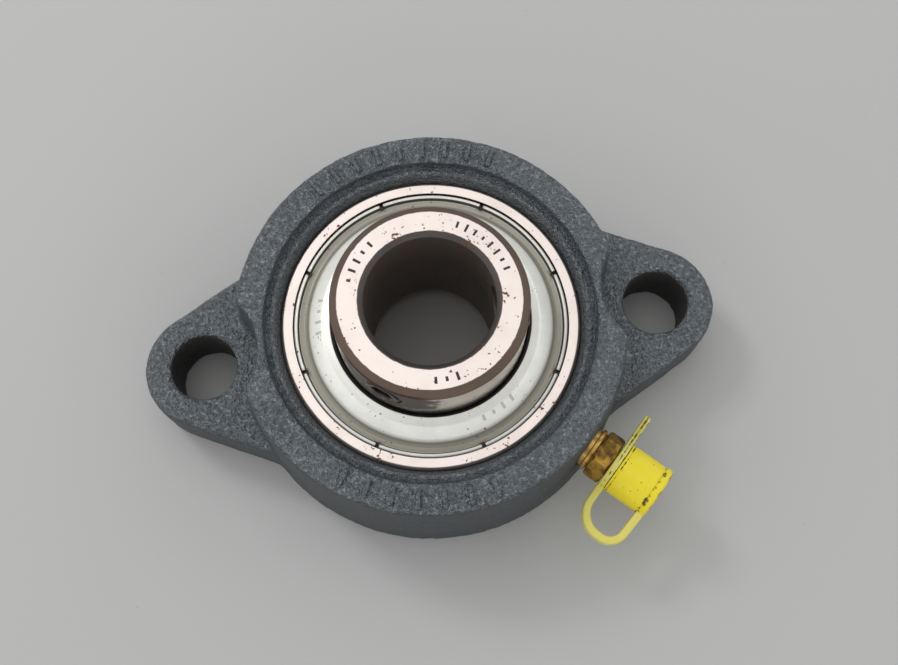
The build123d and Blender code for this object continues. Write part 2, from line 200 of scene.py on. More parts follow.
# Second colours of the finishes
GROOVE_SHADE = (0.014, 0.025, 0.038)
HOLE_SHADE = (0.016, 0.012, 0.009)
DULL_STEEL = (0.66, 0.57, 0.52)
GRINDING_LINE = (0.6, 0.55, 0.52)
BROWN_OXIDE = (0.145, 0.10, 0.075)
DARK_OXIDE_AND_SHADE = (0.014, 0.009, 0.007)
SCREW_STAIN = (0.035, 0.019, 0.012)
STEEL_MARK = (0.05, 0.035, 0.03)
DULL_ZINC = (0.62, 0.65, 0.60)
PAINTED_VALLEY_SHADE = (0.27, 0.25, 0.20)
RIM_DUST_AND_SHADE = (0.20, 0.16, 0.10)
FOLD_SHADE = (0.03, 0.022, 0.016)
ZINC_SPOT = (0.07, 0.05, 0.04)
ZINC_MARK = (0.2, 0.2, 0.18)
DUSTY_RUBBER = (0.05, 0.046, 0.04)
SCREW_OXIDE = (0.045, 0.038, 0.034)
GREASE_FILM = (0.32, 0.25, 0.16)
BRASS_TARNISH = (0.05, 0.026, 0.010)
RUBBED_BRASS = (0.68, 0.42, 0.13)
WORN_PLASTIC = (0.72, 0.56, 0.01)
PLASTIC_SMEAR = (0.30, 0.22, 0.03)
PALE_PAPER = (0.54, 0.54, 0.54)
PAPER_SPOT = (0.25, 0.23, 0.2)


# ---- settings --------------------------------------------------------------------


def colour_property(name, description, default):
    return FloatVectorProperty(
        name=name, description=description, subtype="COLOR", size=3, min=0, max=1, default=default
    )


def length_property(name, description, default):
    return FloatProperty(
        name=name, description=description, unit="LENGTH", min=0, default=default, precision=5
    )


class HousingSettings(bpy.types.PropertyGroup):
    paint: colour_property("Paint", "Colour of the housing's paint", (0.078, 0.100, 0.117))
    shade: colour_property("Shade", "Paint colour in the pits and on sides", (0.012, 0.018, 0.024))
    # crest is a painted highlight: the colour of the glints on the grain's upward crests.
    crest: colour_property("Crest", "Paint colour on the grain's crests", (0.26, 0.29, 0.31))
    mesh_step: length_property("Mesh step", "Spacing of the casting's mesh", 0.00039)
    grain_size: length_property("Grain size", "Width of one bump of the casting", 0.0009)
    grain_height: length_property("Grain height", "Height of the casting's bumps", 0.00006)
    swell_height: length_property("Swell height", "Height of the casting's slow waves", 0.0001)
    mark_height: length_property("Mark height", "How far the cast bars stand out", 0.00034)


class InsertSettings(bpy.types.PropertyGroup):
    steel: colour_property("Ground steel", "Colour of the ground faces", (0.81, 0.72, 0.67))
    oxide: colour_property("Oxide", "Oxide on the bevel and in the bore", (0.125, 0.088, 0.068))
    rust: colour_property("Rust", "Colour of the rust specks", (0.17, 0.065, 0.03))
    zinc: colour_property("Zinc", "Colour of the plated shields", (0.97, 0.97, 0.90))
    rubber: colour_property("Rubber", "Colour of the seal lips", (0.012, 0.012, 0.013))
    segments: IntProperty(
        name="Segments", description="Facets round each turned ring", min=48, default=288
    )


class NippleSettings(bpy.types.PropertyGroup):
    brass: colour_property("Brass", "Colour of the aged nipple", (0.39, 0.225, 0.035))
    plastic: colour_property("Plastic", "Colour of the cap", (0.84, 0.70, 0.02))
    strap: colour_property("Strap", "Colour of the thin strap", (0.72, 0.66, 0.16))
    dirt: colour_property("Dirt", "Colour of the dirt on the cap", (0.045, 0.03, 0.01))


class StageSettings(bpy.types.PropertyGroup):
    floor: colour_property("Floor", "Colour of the floor", (0.465, 0.465, 0.455))
    camera_position: FloatVectorProperty(
        name="Camera", description="Where the camera stands", subtype="TRANSLATION",
        unit="LENGTH", size=3, default=(-0.004667, -0.049269, 0.180907),
    )
    camera_target: FloatVectorProperty(
        name="Target", description="The point the camera looks at", subtype="TRANSLATION",
        unit="LENGTH", size=3, default=(0.0032, 0.0029, 0.0),
    )
    focal_length: FloatProperty(
        name="Focal length", description="The lens, in millimetres", min=1, default=45.4
    )
    ambient: FloatProperty(
        name="Ambient", description="Strength of the light from all round", min=0, default=0.40
    )


# ---- shader maths ----------------------------------------------------------------


def operator_for(operation, reflected=False):
    """A Python operator that adds one Math node."""

    def apply(self, *others):
        values = (self, *others)
        return self.maths(operation, *(reversed(values) if reflected else values))

    return apply


class Value:
    """A number that varies over a surface. Python's operators on it add Math nodes."""

    def __init__(self, finish, socket):
        self.finish = finish
        self.socket = socket

    def maths(self, operation, *values):
        inputs = dict(enumerate(values))
        return self.finish.add("ShaderNodeMath", {"operation": operation}, inputs)

    __add__ = operator_for("ADD")
    __radd__ = operator_for("ADD", reflected=True)
    __sub__ = operator_for("SUBTRACT")
    __rsub__ = operator_for("SUBTRACT", reflected=True)
    __mul__ = operator_for("MULTIPLY")
    __rmul__ = operator_for("MULTIPLY", reflected=True)
    __truediv__ = operator_for("DIVIDE")
    __pow__ = operator_for("POWER")
    __abs__ = operator_for("ABSOLUTE")
    __gt__ = operator_for("GREATER_THAN")
    __lt__ = operator_for("LESS_THAN")
    fraction = operator_for("FRACT")
    floor = operator_for("FLOOR")


class Finish:
    """One material, built node by node around a Principled shader."""

    def __init__(self, name):
        self.material = bpy.data.materials.new(name)
        self.material.use_nodes = True
        self.tree = self.material.node_tree
        self.tree.nodes.clear()
        self.place = self.add("ShaderNodeTexCoord", output="Object")
        self.facing = self.add("ShaderNodeTexCoord", output="Normal")

    def add(self, kind, settings=None, inputs=None, output=0):
        """Adds a node: its settings first, then the values or links of its sockets."""
        node = self.tree.nodes.new(kind)
        for name, setting in (settings or {}).items():
            setattr(node, name, setting)
        for name, value in (inputs or {}).items():
            if isinstance(value, Value):
                self.tree.links.new(value.socket, node.inputs[name])
            else:
                node.inputs[name].default_value = value
        return Value(self, node.outputs[output]) if node.outputs else None

    def split(self, vector):
        """The three parts of a vector."""
        return [self.add("ShaderNodeSeparateXYZ", None, {0: vector}, axis) for axis in "XYZ"]

    def grain(self, size, detail=2.0, roughness=0.5, place=None):
        """Soft noise from 0 to 1, with features of this size in metres."""
        inputs = {
            "Vector": place or self.place,
            "Scale": 1 / size,
            "Detail": detail,
            "Roughness": roughness,
        }
        return self.add("ShaderNodeTexNoise", None, inputs)

    def stretched(self, factors):
        return self.add(
            "ShaderNodeVectorMath", {"operation": "MULTIPLY"}, {0: self.place, 1: factors}
        )

    def step(self, value, low, high):
        """0 below low, 1 above high, smooth between. With low above high it falls."""
        inputs = {"Value": value, "From Min": low, "From Max": high}
        return self.add("ShaderNodeMapRange", {"interpolation_type": "SMOOTHSTEP"}, inputs)

    def blend(self, factor, first, second):
        """A colour between two colours."""
        settings = {"data_type": "RGBA"}
        inputs = {0: factor, 6: self.colour(first), 7: self.colour(second)}
        return self.add("ShaderNodeMix", settings, inputs, output=2)

    @staticmethod
    def colour(value):
        return value if isinstance(value, Value) else (*value[:3], 1)

    def polar(self):
        """Distance from the bearing axis, azimuth in turns, and height."""
        x, y, z = self.split(self.place)
        radius = (x * x + y * y) ** 0.5
        turn = y.maths("ARCTAN2", y, x) / FULL_TURN
        return radius, turn, z

    def bump(self, height, strength, distance):
        inputs = {"Height": height, "Strength": strength, "Distance": distance}
        return self.add("ShaderNodeBump", None, inputs)

    def surface(self, inputs):
        """Ends the material with a Principled shader and returns it."""
        shader = self.add("ShaderNodeBsdfPrincipled", None, inputs)
        self.add("ShaderNodeOutputMaterial", None, {"Surface": shader})
        return self.material


# ---- finishes --------------------------------------------------------------------


def housing_paint(settings):
    """Glossy machinery paint over rough cast iron, with painted shade in the grain's pits, on the
    sides, in the groove and in the bolt holes, and painted highlights on the upward crests.
    """
    finish = Finish("housing_paint")
    radius, _, z = finish.polar()
    worms = finish.grain(0.0007, 3, 0.62)
    pebbles = finish.grain(0.0004, 2, 0.5)
    patches = finish.grain(0.007, 2, 0.5)
    _, _, up = finish.split(finish.facing)
    upward = finish.step(up, 0.3, 0.85)
    off_groove = abs(radius - GROOVE_MIDDLE * MM)
    groove = finish.step(off_groove, 0.00062, 0.00034) * (z > GROOVE_BELOW * MM)
    height = worms * 0.6 + pebbles * 0.4
    x, y, _ = finish.split(finish.place)
    to_hole = ((abs(x) - BOLT_X * MM) ** 2 + y * y) ** 0.5
    in_hole = finish.step(to_hole, (BOLT_HOLE_RADIUS + 0.45) * MM, (BOLT_HOLE_RADIUS + 0.2) * MM)
    # Bolt-hole walls: partly rust, partly painted shade inside the holes.
    hole_rust_and_shade = in_hole * (1 - upward)
    # Painted shade: the grain's pits and the sides facing away from the top take the darker shade
    # colour.
    tone = finish.step(height, 0.36, 0.60) * 0.8 + finish.step(patches, 0.3, 0.7) * 0.2
    pit_and_side_shade = finish.blend(tone * (upward * 0.75 + 0.25), settings.shade, settings.paint)
    # Painted highlight: the upward crests of the grain are lightened with the crest colour as
    # glints.
    crest_glints = finish.step(height, 0.53, 0.66) * upward
    cast = finish.blend(crest_glints * 0.7, pit_and_side_shade, settings.crest)
    grooved = finish.blend(groove * 0.8, cast, GROOVE_SHADE)
    paint = finish.blend(hole_rust_and_shade, grooved, HOLE_SHADE)
    return finish.surface({
        "Base Color": paint,
        "Roughness": 0.17 + (1 - upward) * 0.38 + patches * 0.06,
        "Specular IOR Level": 1.0,
        "Normal": finish.bump(height, 1.0, 0.0011),
    })


def specks(finish, size, amount):
    """Scattered small spots, 1 inside them."""
    spots = finish.grain(size, 1, 0.5)
    clusters = finish.grain(size * 9, 2, 0.6)
    return finish.step(spots * 0.6 + clusters * 0.4, 0.74 - amount, 0.78 - amount)


def stroke_row(finish, turn, start, count, spacing):
    """Short radial strokes of uneven length: where they are, and how long, 0 to 1."""
    along = (turn - start) / spacing
    inside = (along > 0) * (along < count)
    number = along.floor()
    length = finish.add("ShaderNodeTexWhiteNoise", {"noise_dimensions": "1D"}, {"W": number})
    return inside * (abs(along.fraction() - 0.5) < 0.13), length


def ground_steel(settings, name, wear_and_shade_by):
    """Ground bearing steel, with oxide, marks, stains and painted shade where the given function
    says.
    """
    finish = Finish(name)
    radius, turn, z = finish.polar()
    oxide, marks, stain, tint = wear_and_shade_by(finish, radius, turn, z)
    rings = finish.add(
        "ShaderNodeCombineXYZ", None, {"X": radius, "Y": z, "Z": turn * 0.00004}
    )
    lines = finish.grain(0.00006, 1, 0.5, place=rings)
    smudge = finish.grain(0.0045, 4, 0.62)
    rust = specks(finish, 0.00048, 0.105) + specks(finish, 0.0009, 0.075)
    dull = finish.step(smudge, 0.42, 0.72)
    ground = finish.blend(dull * 0.35, settings.steel, DULL_STEEL)
    metal = finish.blend(lines * 0.12, ground, GRINDING_LINE)
    scale = finish.grain(0.0016, 3, 0.65)
    brown = finish.blend(finish.step(scale, 0.4, 0.75) * 0.6, settings.oxide, BROWN_OXIDE)
    # For the outer ring, tint and oxide carry painted shade: its step behind the shield turns
    # near-black.
    oxidised = finish.blend(tint, brown, DARK_OXIDE_AND_SHADE)
    body = finish.blend(oxide, metal, oxidised)
    stained = finish.blend(stain, body, SCREW_STAIN)
    rusty = finish.blend(finish.step(rust, 0, 1), stained, settings.rust)
    marked = finish.blend(marks, rusty, STEEL_MARK)
    cover = finish.step(oxide * 0.6 + rust + marks + stain, 0, 1)
    height = lines * 0.35 + rust * 0.8 + scale * oxide * 0.8 + scale * stain * 2
    return finish.surface({
        "Base Color": marked,
        "Metallic": 1 - cover * 0.5,
        "Roughness": 0.25 + smudge * 0.12 + cover * 0.2,
        "Normal": finish.bump(height, 0.25, 0.00003),
    })


def inner_ring_wear(finish, radius, turn, z):
    """Oxide in the bore and on the bevel, strokes on the face, rust round the screw holes."""
    wobble = (finish.grain(0.0011, 3, 0.6) - 0.5) * 0.00022
    bore = finish.step(radius + wobble, 10.42 * MM, 10.28 * MM)
    chamfer_foot = INNER_TOP - BORE_CHAMFER
    at_mouth = bore * finish.step(z, (chamfer_foot - 0.25) * MM, chamfer_foot * MM)
    on_bevel = finish.step(radius + wobble, 13.18 * MM, 13.30 * MM)
    bevel_foot = INNER_TOP - CHAMFER_HEIGHT
    above = finish.step(z + wobble, (bevel_foot - 0.35) * MM, bevel_foot * MM)
    bevel = on_bevel * above
    on_face = z > (INNER_TOP - 0.05) * MM
    off_middle = abs(radius - FACE_STROKE_RADIUS * MM)
    marks = 0
    for start, count, spacing in FACE_STROKES:
        strokes, length = stroke_row(finish, turn, start, count, spacing)
        marks = marks + strokes * (off_middle < length * 0.00035 + 0.0003)
    stain = 0
    for azimuth, reach in zip(SCREW_AZIMUTHS, (4.0, 6.0)):
        away = (turn - azimuth / 360) * (FULL_TURN * INNER_RADIUS * MM)
        below = z - (SCREW_Z + 0.4) * MM
        distance = (away * away * 0.35 + below * below) ** 0.5
        ragged = distance + (finish.grain(0.0021, 4, 0.65) - 0.5) * 0.005
        stain = stain + finish.step(ragged, reach * MM, (reach - 1.8) * MM)
    on_side = finish.step(radius, 14.1 * MM, 14.3 * MM)
    oxide = bore * 0.9 + bevel * (1 - bore)
    return oxide, marks * on_face, stain * on_side * 0.92, at_mouth


def outer_ring_wear_and_shade(finish, radius, turn, z):
    """Painted shade on the step behind the shield, and a brown film on the ring's edges."""
    # Painted shade: the step behind the shield, seen only through the gap and the slits, is
    # painted dark.
    inside = finish.step(radius, (FACE_INNER + 0.05) * MM, (FACE_INNER + 0.01) * MM)
    edge = finish.step(radius, 22.05 * MM, 22.2 * MM) * finish.grain(0.0015, 3, 0.6)
    return inside, 0, edge * 0.45, inside * 0.9


def zinc_plate(settings):
    """Zinc-plated pressed sheet, with dust, and painted shade in the valley, in the rim's fold, in
    the slits and round them.
    """
    finish = Finish("zinc_shield")
    radius, turn, _ = finish.polar()
    rings = finish.add(
        "ShaderNodeCombineXYZ", None, {"X": radius, "Y": radius, "Z": turn * 0.0006}
    )
    drawn = finish.grain(0.00022, 2, 0.5, place=rings)
    cloud = finish.grain(0.0032, 3, 0.6)
    spots = specks(finish, 0.00045, 0.085)
    dust = finish.grain(0.0007, 3, 0.7)
    to_slit = abs((turn * RIM_SLITS - RIM_SLIT_START * RIM_SLITS / 360 + 10.5).fraction() - 0.5)
    on_rim = finish.step(radius, 19.3 * MM, 19.9 * MM)
    # Painted shade round each slit on the rim.
    shade_near_slit = finish.step(to_slit, 0.10, 0.015) * on_rim
    slit = finish.step(to_slit, 0.024, 0.016) * finish.step(radius, 19.75 * MM, 19.85 * MM)
    fold = finish.step(abs(radius - FOLD_RADIUS * MM), 0.00017, 0.00007)
    # Painted shade: the flat valley is darkened, standing in for a dimmer reflection there.
    valley = finish.step(abs(radius - VALLEY_RADIUS * MM), 0.00095, 0.0006)
    # Dust, with painted shade from the valley and round the slits mixed in.
    dust_and_shade = finish.step(dust * 0.6 + valley * 0.16 + shade_near_slit * 0.3, 0.5, 0.74)
    clean = finish.blend(finish.step(cloud, 0.3, 0.7) * 0.2, settings.zinc, DULL_ZINC)
    valley_shaded = finish.blend(valley * 0.9, clean, PAINTED_VALLEY_SHADE)
    dusted_and_shaded = finish.blend(dust_and_shade * 0.7, valley_shaded, RIM_DUST_AND_SHADE)
    creased = finish.step(fold + slit, 0, 1)
    folded = finish.blend(creased * 0.95, dusted_and_shaded, FOLD_SHADE)
    spotted = finish.blend(spots, folded, ZINC_SPOT)
    off_middle = abs(radius - SHIELD_STROKE_RADIUS * MM)
    marks = 0
    for start, count, spacing in SHIELD_STROKES:
        strokes, length = stroke_row(finish, turn, start, count, spacing)
        marks = marks + strokes * (off_middle < length * 0.00025 + 0.00025)
    marked = finish.blend(marks * 0.5, spotted, ZINC_MARK)
    return finish.surface({
        "Base Color": marked,
        "Metallic": 0.3 - spots * 0.1 - dust_and_shade * 0.1 - creased * 0.05,
        "Roughness": 0.30 + cloud * 0.10 + dust_and_shade * 0.2 + creased * 0.2,
        "Normal": finish.bump(drawn * 0.5 + cloud, 0.3, 0.00004),
    })


def seal_rubber(settings):
    finish = Finish("seal_rubber")
    pebble = finish.grain(0.0003, 3, 0.6)
    dust = finish.step(finish.grain(0.0015, 3, 0.6), 0.5, 0.75)
    return finish.surface({
        "Base Color": finish.blend(dust * 0.4, settings.rubber, DUSTY_RUBBER),
        "Roughness": 0.5 + dust * 0.25,
        "Normal": finish.bump(pebble, 0.3, 0.00003),
    })


def black_screw(settings):
    """Black oxide on the set screws, with rust coming through."""
    finish = Finish("screw_steel")
    mottle = finish.grain(0.0012, 4, 0.65)
    rust = finish.step(mottle, 0.52, 0.68)
    fine = finish.grain(0.0002, 2, 0.5)
    return finish.surface({
        "Base Color": finish.blend(rust * 0.8, SCREW_OXIDE, settings.rust),
        "Metallic": 0.75 - rust * 0.5,
        "Roughness": 0.38 + rust * 0.3,
        "Normal": finish.bump(fine * 0.5 + rust, 0.35, 0.00004),
    })


def hard_steel(name, tint, gloss):
    """Polished steel for the balls, cage, rivets, pin and spring."""
    finish = Finish(name)
    haze = finish.grain(0.003, 3, 0.6)
    scratches = finish.grain(0.0005, 2, 0.6, place=finish.stretched((1, 0.2, 1)))
    grease = finish.step(finish.grain(0.0045, 2, 0.5), 0.55, 0.8)
    return finish.surface({
        "Base Color": finish.blend(grease * 0.35, tint, GREASE_FILM),
        "Metallic": 1.0,
        "Roughness": gloss + haze * 0.12 + grease * 0.12,
        "Normal": finish.bump(scratches, 0.12, 0.00002),
    })


def along_nipple(finish):
    """Distance from the bearing axis, measured along the nipple."""
    x, y, _ = finish.split(finish.place)
    a = math.radians(NIPPLE_AZIMUTH)
    return x * math.cos(a) + y * math.sin(a)


def aged_brass(settings):
    """Tarnished brass, with a collar rubbed bright."""
    finish = Finish("nipple_brass")
    stain = finish.grain(0.0022, 4, 0.6)
    fine = finish.grain(0.00035, 3, 0.6)
    collar = finish.step(along_nipple(finish), (COLLAR_END + 0.06) * MM, COLLAR_END * MM)
    dark = finish.step(stain, 0.40, 0.64) * (1 - collar * 0.6)
    rubbed = finish.step(fine * 0.5 + stain * 0.5, 0.5, 0.36) * 0.35 + collar * 0.6
    tarnish = finish.blend(dark * 0.8, settings.brass, BRASS_TARNISH)
    return finish.surface({
        "Base Color": finish.blend(rubbed, tarnish, RUBBED_BRASS),
        "Metallic": 0.9 - dark * 0.3,
        "Roughness": 0.38 + dark * 0.2 - collar * 0.12,
        "Normal": finish.bump(fine * 0.6 + stain * 0.4, 0.35, 0.00008),
    })


def cap_plastic(settings, name, tint, dirt_lines):
    """Soft moulded plastic; dirt_lines gives (distance along the nipple, half width) pairs."""
    finish = Finish(name)
    along = along_nipple(finish)
    skin = finish.grain(0.0005, 3, 0.6)
    cloud = finish.grain(0.004, 3, 0.6)
    blotches = finish.grain(0.0013, 4, 0.7)
    specked = specks(finish, 0.0005, 0.085)
    smear = finish.step(finish.grain(0.0018, 4, 0.7), 0.60, 0.78)
    lines = 0
    for place, half_width in dirt_lines:
        nearness = finish.step(abs(along - place * MM), half_width * MM, half_width * 0.15 * MM)
        lines = lines + finish.step(nearness * 0.38 + blotches, 0.80, 0.98)
    soil = finish.step(lines + specked, 0, 1)
    worn = finish.blend(finish.step(cloud, 0.3, 0.75) * 0.3, tint, WORN_PLASTIC)
    soiled = finish.blend(smear * 0.5, worn, PLASTIC_SMEAR)
    return finish.surface({
        "Base Color": finish.blend(soil * 0.9, soiled, settings.dirt),
        "Roughness": 0.36 + cloud * 0.12 + soil * 0.25,
        "Subsurface Weight": 0.12,
        "Subsurface Radius": (0.001, 0.0008, 0.0002),
        "Subsurface Scale": 0.6,
        "Normal": finish.bump(skin * 0.4 + soil * 0.8, 0.3, 0.00006),
    })


def floor_paper(settings):
    finish = Finish("floor_paper")
    fibre = finish.grain(0.0012, 4, 0.6)
    cloud = finish.grain(0.08, 2, 0.5)
    spots = specks(finish, 0.0011, 0.03)
    sheet = finish.blend(cloud * 0.12, settings.floor, PALE_PAPER)
    return finish.surface({
        "Base Color": finish.blend(spots * 0.5, sheet, PAPER_SPOT),
        "Roughness": 0.7 + fibre * 0.1,
        "Normal": finish.bump(fibre, 0.05, 0.0002),
    })


# ---- mesh building ---------------------------------------------------------------


def new_piece(name, mesh):
    piece = bpy.data.objects.new(name, mesh)
    bpy.context.scene.collection.objects.link(piece)
    return piece


def piece_from(shape, name, place=None):
    """Turns a shape into a piece."""
    mesh = bpy.data.meshes.new(name)
    shape.to_mesh(mesh)
    shape.free()
    if place is not None:
        mesh.transform(place)
    return new_piece(name, mesh)


def grid_piece(name, grid, place=None, closed_outline=True):
    """A skin over a grid of points in millimetres, indexed [outline, turn]."""
    rows, columns = grid.shape[:2]
    down = np.arange(rows if closed_outline else rows - 1)
    i, j = np.meshgrid(down, np.arange(columns), indexing="ij")
    next_i = (i + 1) % rows
    next_j = (j + 1) % columns
    row = i * columns
    next_row = next_i * columns
    corners = [row + j, row + next_j, next_row + next_j, next_row + j]
    faces = np.stack(corners, axis=-1).reshape(-1, 4)
    mesh = bpy.data.meshes.new(name)
    mesh.from_pydata((grid.reshape(-1, 3) * MM).tolist(), [], faces.tolist())
    tidy_mesh(mesh)
    if place is not None:
        mesh.transform(place)
    return new_piece(name, mesh)


def tidy_mesh(mesh):
    """Welds points that coincide, closes open ends and turns every face outwards."""
    shape = bmesh.new()
    shape.from_mesh(mesh)
    bmesh.ops.remove_doubles(shape, verts=shape.verts, dist=1e-7)
    bmesh.ops.dissolve_degenerate(shape, edges=shape.edges, dist=1e-7)
    edge_loops = [edge for edge in shape.edges if edge.is_boundary]
    bmesh.ops.holes_fill(shape, edges=edge_loops)
    bmesh.ops.recalc_face_normals(shape, faces=shape.faces)
    shape.to_mesh(mesh)
    shape.free()


def rounded(points, closed=True, steps=5, share=0.49):
    """An outline of (x, y, corner radius) points, with its corners turned into arcs.

    An arc takes at most this share of the line on either side of it."""
    outline = []
    count = len(points)
    for index, (x, y, radius) in enumerate(points):
        corner = Vector((x, y))
        at_end = not closed and index in (0, count - 1)
        if radius <= 0 or at_end:
            outline.append(corner)
            continue
        before = Vector(points[index - 1][:2]) - corner
        after = Vector(points[(index + 1) % count][:2]) - corner
        half = before.angle(after) / 2
        reach = min(radius / math.tan(half), share * before.length, share * after.length)
        start = corner + before.normalized() * reach
        end = corner + after.normalized() * reach
        middle = (before.normalized() + after.normalized()).normalized()
        centre = corner + middle * reach / math.cos(half)
        first = start - centre
        last = end - centre
        for step in range(steps + 1):
            ray = first.normalized().slerp(last.normalized(), step / steps)
            outline.append(centre + ray * first.length)
    return np.array([(p.x, p.y) for p in outline])


def arc(centre, radius, start, end, steps):
    """Points on an arc, angles in degrees, ready for rounded()."""
    angles = np.radians(np.linspace(start, end, steps + 1))
    return [
        (centre[0] + radius * math.cos(a), centre[1] + radius * math.sin(a), 0)
        for a in angles
    ]


def turned(name, outline, segments, place=None, closed=True):
    """A ring turned about the local Z axis from (radius, height) points."""
    angles = np.arange(segments) * FULL_TURN / segments
    radius = outline[:, 0][:, None]
    height = outline[:, 1][:, None] + 0 * angles
    grid = np.stack([radius * np.cos(angles), radius * np.sin(angles), height], axis=-1)
    return grid_piece(name, grid, place, closed_outline=closed)


def turned_by(name, rows, segments, place):
    """A bar along the local Z axis from (height, radius) rows; a radius may vary by angle."""
    angles = np.arange(segments) * FULL_TURN / segments
    grid = np.empty((len(rows), segments, 3))
    for row, (height, radius) in enumerate(rows):
        reach = radius(angles) if callable(radius) else radius + 0 * angles
        columns = [reach * np.cos(angles), reach * np.sin(angles), height + 0 * angles]
        grid[row] = np.stack(columns, axis=-1)
    return grid_piece(name, grid, place, closed_outline=False)


def hexagon_radius(flats):
    """Distance to the side of a hexagon, as a function of angle."""

    def reach(angles):
        within = angles % (FULL_TURN / 6) - math.pi / 6
        return flats / 2 / np.cos(within)

    return reach


def apply_modifiers(piece):
    bpy.context.view_layer.update()
    evaluated = piece.evaluated_get(bpy.context.evaluated_depsgraph_get())
    mesh = bpy.data.meshes.new_from_object(evaluated)
    old = piece.data
    piece.modifiers.clear()
    piece.data = mesh
    bpy.data.meshes.remove(old)


def cut(piece, cutter):
    """Takes the cutter's volume out of the piece and removes the cutter."""
    modifier = piece.modifiers.new("cut", "BOOLEAN")
    modifier.operation = "DIFFERENCE"
    modifier.solver = "EXACT"
    modifier.object = cutter
    apply_modifiers(piece)
    bpy.data.objects.remove(cutter)


def smooth_faces(piece, sharp_angle=40):
    """Smooth shading that keeps wide faces flat and creases sharp."""
    mesh = piece.data
    mesh.polygons.foreach_set("use_smooth", [True] * len(mesh.polygons))
    mesh.set_sharp_from_angle(angle=math.radians(sharp_angle))
    weights = piece.modifiers.new("face weights", "WEIGHTED_NORMAL")
    weights.keep_sharp = True
    weights.weight = 80


def stand_for(piece, node, finish):
    """Gives a piece its finish and puts it in the place of one CAD node."""
    piece.data.materials.clear()
    piece.data.materials.append(finish)
    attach(piece, frame["nodes"][node]["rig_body"])
    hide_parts(node)


def dress(node, finish):
    """Gives a CAD node its finish."""
    materials = frame["nodes"][node].data.materials
    materials.clear()
    materials.append(finish)


def radial_frame(azimuth, height, distance=0.0):
    """Local Z outwards from the bearing axis, local X level, local Y up."""
    a = math.radians(azimuth)
    outwards = Vector((math.cos(a), math.sin(a), 0))
    level = Vector((-math.sin(a), math.cos(a), 0))
    origin = outwards * distance * MM + Vector((0, 0, height * MM))
    turn = Matrix((level, Vector((0, 0, 1)), outwards)).transposed()
    return Matrix.Translation(origin) @ turn.to_4x4()


def rounded_block(shape, size, place, bevel):
    """Adds a block with rounded edges to a shape."""
    made = bmesh.ops.create_cube(shape, size=1.0, matrix=place @ Matrix.Diagonal((*size, 1)))
    edges = {edge for vert in made["verts"] for edge in vert.link_edges}
    bmesh.ops.bevel(
        shape, geom=list(edges), offset=bevel, segments=3, profile=0.5, affect="EDGES"
    )


# ---- the casting -----------------------------------------------------------------


def make_cast_marks(settings):
    """Plain raised bars in two rows on the boss's face."""
    shape = bmesh.new()
    depth = 1.0 * MM
    height = HOUSING_TOP * MM + settings.mark_height - depth / 2
    offset = Matrix.Translation((MARK_RADIUS * MM, 0, height))
    size = (MARK_LENGTH * MM, MARK_WIDTH * MM, depth)
    for first, spacing, count in MARK_ROWS:
        for number in range(count):
            turn = Matrix.Rotation(math.radians(first + number * spacing), 4, "Z")
            rounded_block(shape, size, turn @ offset, 0.2 * MM)
    return piece_from(shape, "cast_marks")


def relax(positions, edges, weight, rounds):
    """Moves each point towards the mean of its neighbours."""
    first, second = edges.T
    count = np.zeros(len(positions))
    np.add.at(count, first, 1)
    np.add.at(count, second, 1)
    for _ in range(rounds):
        total = np.zeros_like(positions)
        np.add.at(total, first, positions[second])
        np.add.at(total, second, positions[first])
        positions = positions + (total / count[:, None] - positions) * weight[:, None]
    return positions


def cast_grain(point, settings):
    """Height of the casting's surface at a point: fine bumps on slow waves."""
    bumps = noise.noise(point / settings.grain_size) + 0.5 * noise.noise(
        point / settings.grain_size * 2.1 + Vector((7, 3, 1))
    )
    waves = noise.noise(point / 0.006) + 0.6 * noise.noise(point / 0.0025)
    return bumps * settings.grain_height + waves * settings.swell_height


def read(items, name, kind=float, width=3):
    """One row of numbers for each vertex or edge."""
    numbers = np.empty(len(items) * width, kind)
    items.foreach_get(name, numbers)
    return numbers.reshape(-1, width)


def make_casting(settings):
    mesh = frame["nodes"]["housing"].data.copy()
    shape = bmesh.new()
    shape.from_mesh(mesh)
    bmesh.ops.remove_doubles(shape, verts=shape.verts, dist=1e-6)
    shape.to_mesh(mesh)
    shape.free()
    casting = new_piece("cast_housing", mesh)
    skin = casting.modifiers.new("even skin", "REMESH")
    skin.mode = "VOXEL"
    skin.voxel_size = settings.mesh_step
    apply_modifiers(casting)

    mesh = casting.data
    positions = read(mesh.vertices, "co")
    edges = read(mesh.edges, "vertices", int, 2)
    radius = np.hypot(positions[:, 0], positions[:, 1])
    machined = (radius < LIP_RADIUS * MM) & (positions[:, 2] < SEAT_TOP * MM)
    back = positions[:, 2] < 0.3 * MM
    to_hole = np.hypot(np.abs(positions[:, 0]) - BOLT_X * MM, positions[:, 1])
    in_hole = to_hole < (BOLT_HOLE_RADIUS + 0.25) * MM
    softness = np.where(machined | back, 0.15, 0.5)
    positions = relax(positions, edges, softness, 3)
    mesh.vertices.foreach_set("co", positions.ravel())
    mesh.update()

    normals = read(mesh.vertices, "normal")
    roughness = np.where(machined, 0.0, np.where(back | in_hole, 0.25, 1.0))
    roughness *= np.clip((radius / MM - SEAT_MOUTH) / (LIP_RADIUS - SEAT_MOUTH), 0, 1)
    heights = np.array([cast_grain(Vector(p), settings) for p in positions])
    positions += normals * (heights * roughness)[:, None]
    positions = np.clip(positions, *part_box("housing"))
    mesh.vertices.foreach_set("co", positions.ravel())
    mesh.polygons.foreach_set("use_smooth", [True] * len(mesh.polygons))
    mesh.update()
    return casting


# ---- the insert ------------------------------------------------------------------


